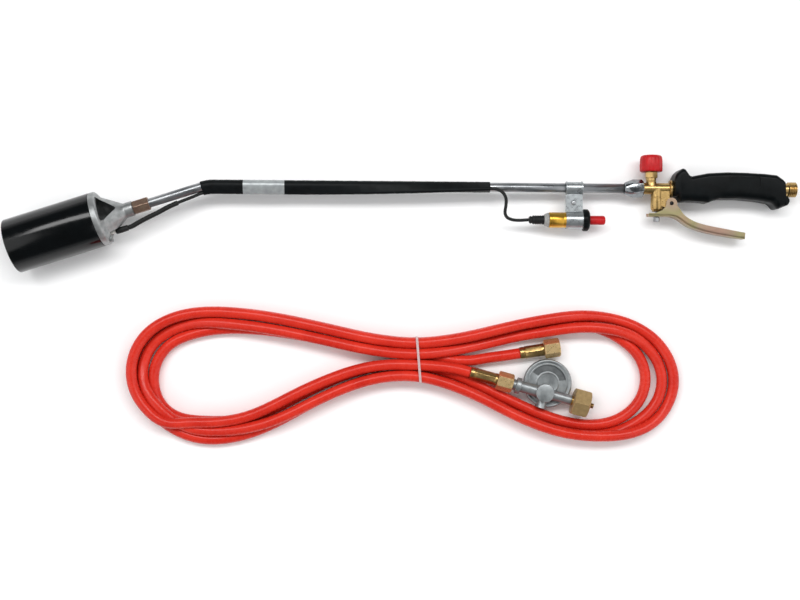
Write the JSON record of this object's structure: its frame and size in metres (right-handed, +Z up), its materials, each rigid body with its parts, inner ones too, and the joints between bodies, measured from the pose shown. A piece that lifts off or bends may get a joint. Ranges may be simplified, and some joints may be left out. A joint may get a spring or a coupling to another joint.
{
  "type": "propane torch",
  "caption": "Roofing torch with a steel burner cup, bent lance, push-button spark igniter, squeeze-lever valve and grip, lying beside its hose and regulator.",
  "frame": {"origin": "centre of the torch's footprint, on the surface that it lies on; the hose set lies beside it", "axes": "+X from the burner cup to the gas inlet, +Y from the hose set to the torch, +Z up"},
  "size_m": [0.8646, 0.319, 0.0616],
  "materials": {
    "black_enamel": "glossy black enamel",
    "cast_alloy": "satin bead-blasted casting",
    "brass": "satin turned brass",
    "chrome": "bright chrome plate",
    "steel": "satin steel",
    "spring_steel": "bright drawn wire",
    "yellow_zinc": "yellow passivated zinc with a faint iridescence",
    "black_sheath": "glossy shrink sleeve",
    "black_rubber": "satin rubber",
    "white_ceramic": "glazed insulator",
    "pale_plastic": "pale moulded plastic",
    "label_film": "silver-grey film without lettering",
    "gold_anodised": "gold anodised",
    "black_plastic": "satin moulded plastic",
    "red_plastic": "satin moulded plastic",
    "red_hose": "glossy smooth hose",
    "clear_tie": "translucent natural nylon",
    "zinc_casting": "grey tumbled zinc casting"
  },
  "bodies": {
    "torch": {"burner_cup": "black_enamel", "burner_head": "cast_alloy", "gas_jet": "brass", "head_nut": "brass", "lance_olive": "brass", "valve_body": "brass", "valve_bonnet": "brass", "gland_nut": "brass", "handle_collar": "brass", "inlet_connector": "brass", "lance_tube": "chrome", "lance_nut": "chrome", "handle_pipe": "chrome", "flame_stabiliser": "steel", "spark_electrode": "steel", "igniter_bracket": "steel", "bracket_rivet": "steel", "lever_pin": "steel", "button_spring": "spring_steel", "stem_spring": "spring_steel", "lance_sleeve": "black_sheath", "ignition_lead": "black_rubber", "lead_sheath": "black_rubber", "electrode_boot": "black_rubber", "igniter_boot": "black_rubber", "spindle_packing": "black_rubber", "electrode_insulator": "white_ceramic", "piezo_element": "white_ceramic", "igniter_collar": "pale_plastic", "sleeve_label": "label_film", "igniter_case": "gold_anodised", "handle": "black_plastic", "igniter_ring": "black_plastic"},
    "button": {"igniter_button": "red_plastic"},
    "needle": {"needle_spindle": "steel"},
    "knob": {"flow_knob": "red_plastic"},
    "stem": {"valve_stem": "steel", "stem_seal": "black_rubber", "stem_nut": "steel"},
    "lever": {"lever": "yellow_zinc"},
    "hose_set": {"hose_hank": "red_hose", "hose_end": "red_hose", "cable_tie": "clear_tie", "ferrule_free": "brass", "hose_tail_free": "brass", "regulator_body": "zinc_casting", "regulator_cover": "zinc_casting", "diaphragm": "black_rubber", "set_spring": "spring_steel", "inlet_tail": "brass", "inlet_seal": "black_rubber", "ferrule_regulator": "brass", "hose_tail_regulator": "brass", "hose_nut_regulator": "brass"},
    "free_nut": {"hose_nut_free": "brass"},
    "cylinder_nut": {"cylinder_nut": "brass"}
  },
  "joints": [
    {"name": "button_press", "type": "slide", "parent": "torch", "child": "button", "axis": [-0.9998, 0.0068, 0.0186], "range_m": [0, 0.006], "stiffness_N_per_m": 600, "springref_m": -0.002},
    {"name": "needle_rise", "type": "slide", "parent": "torch", "child": "needle", "axis": [0.0068, 1, 0], "range_m": [0, 0.0015]},
    {"name": "knob_turn", "type": "hinge", "parent": "needle", "child": "knob", "pos_m": [0.27261, 0.0278, 0.01878], "axis": [0.0068, 1, 0], "range_deg": [0, 540]},
    {"name": "stem_pull", "type": "slide", "parent": "torch", "child": "stem", "axis": [-0.0068, -1, 0], "range_m": [0, 0.0052]},
    {"name": "lever_squeeze", "type": "hinge", "parent": "torch", "child": "lever", "pos_m": [0.29379, 0.01135, 0.01838], "axis": [0.0186, -0.0001, 0.9998], "range_deg": [0, 14], "stiffness_Nm_per_rad": 3, "springref_deg": -5.73},
    {"name": "hose_set_slide", "type": "slide", "parent": "torch", "child": "hose_set", "axis": [0, -1, 0], "range_m": [0, 0.12]},
    {"name": "free_nut_spin", "type": "hinge", "parent": "hose_set", "child": "free_nut", "pos_m": [0.12976, -0.15293, 0.0108], "axis": [0.9877, 0.1564, 0], "continuous": true},
    {"name": "cylinder_nut_spin", "type": "hinge", "parent": "hose_set", "child": "cylinder_nut", "pos_m": [0.15606, -0.19603, 0.0175], "axis": [0.9641, -0.2656, 0], "continuous": true}
  ],
  "couplings": [
    {"joint": "needle_rise", "follows": "knob_turn", "m_per_rad": 0.000159},
    {"joint": "stem_pull", "follows": "lever_squeeze", "m_per_rad": 0.0208}
  ]
}
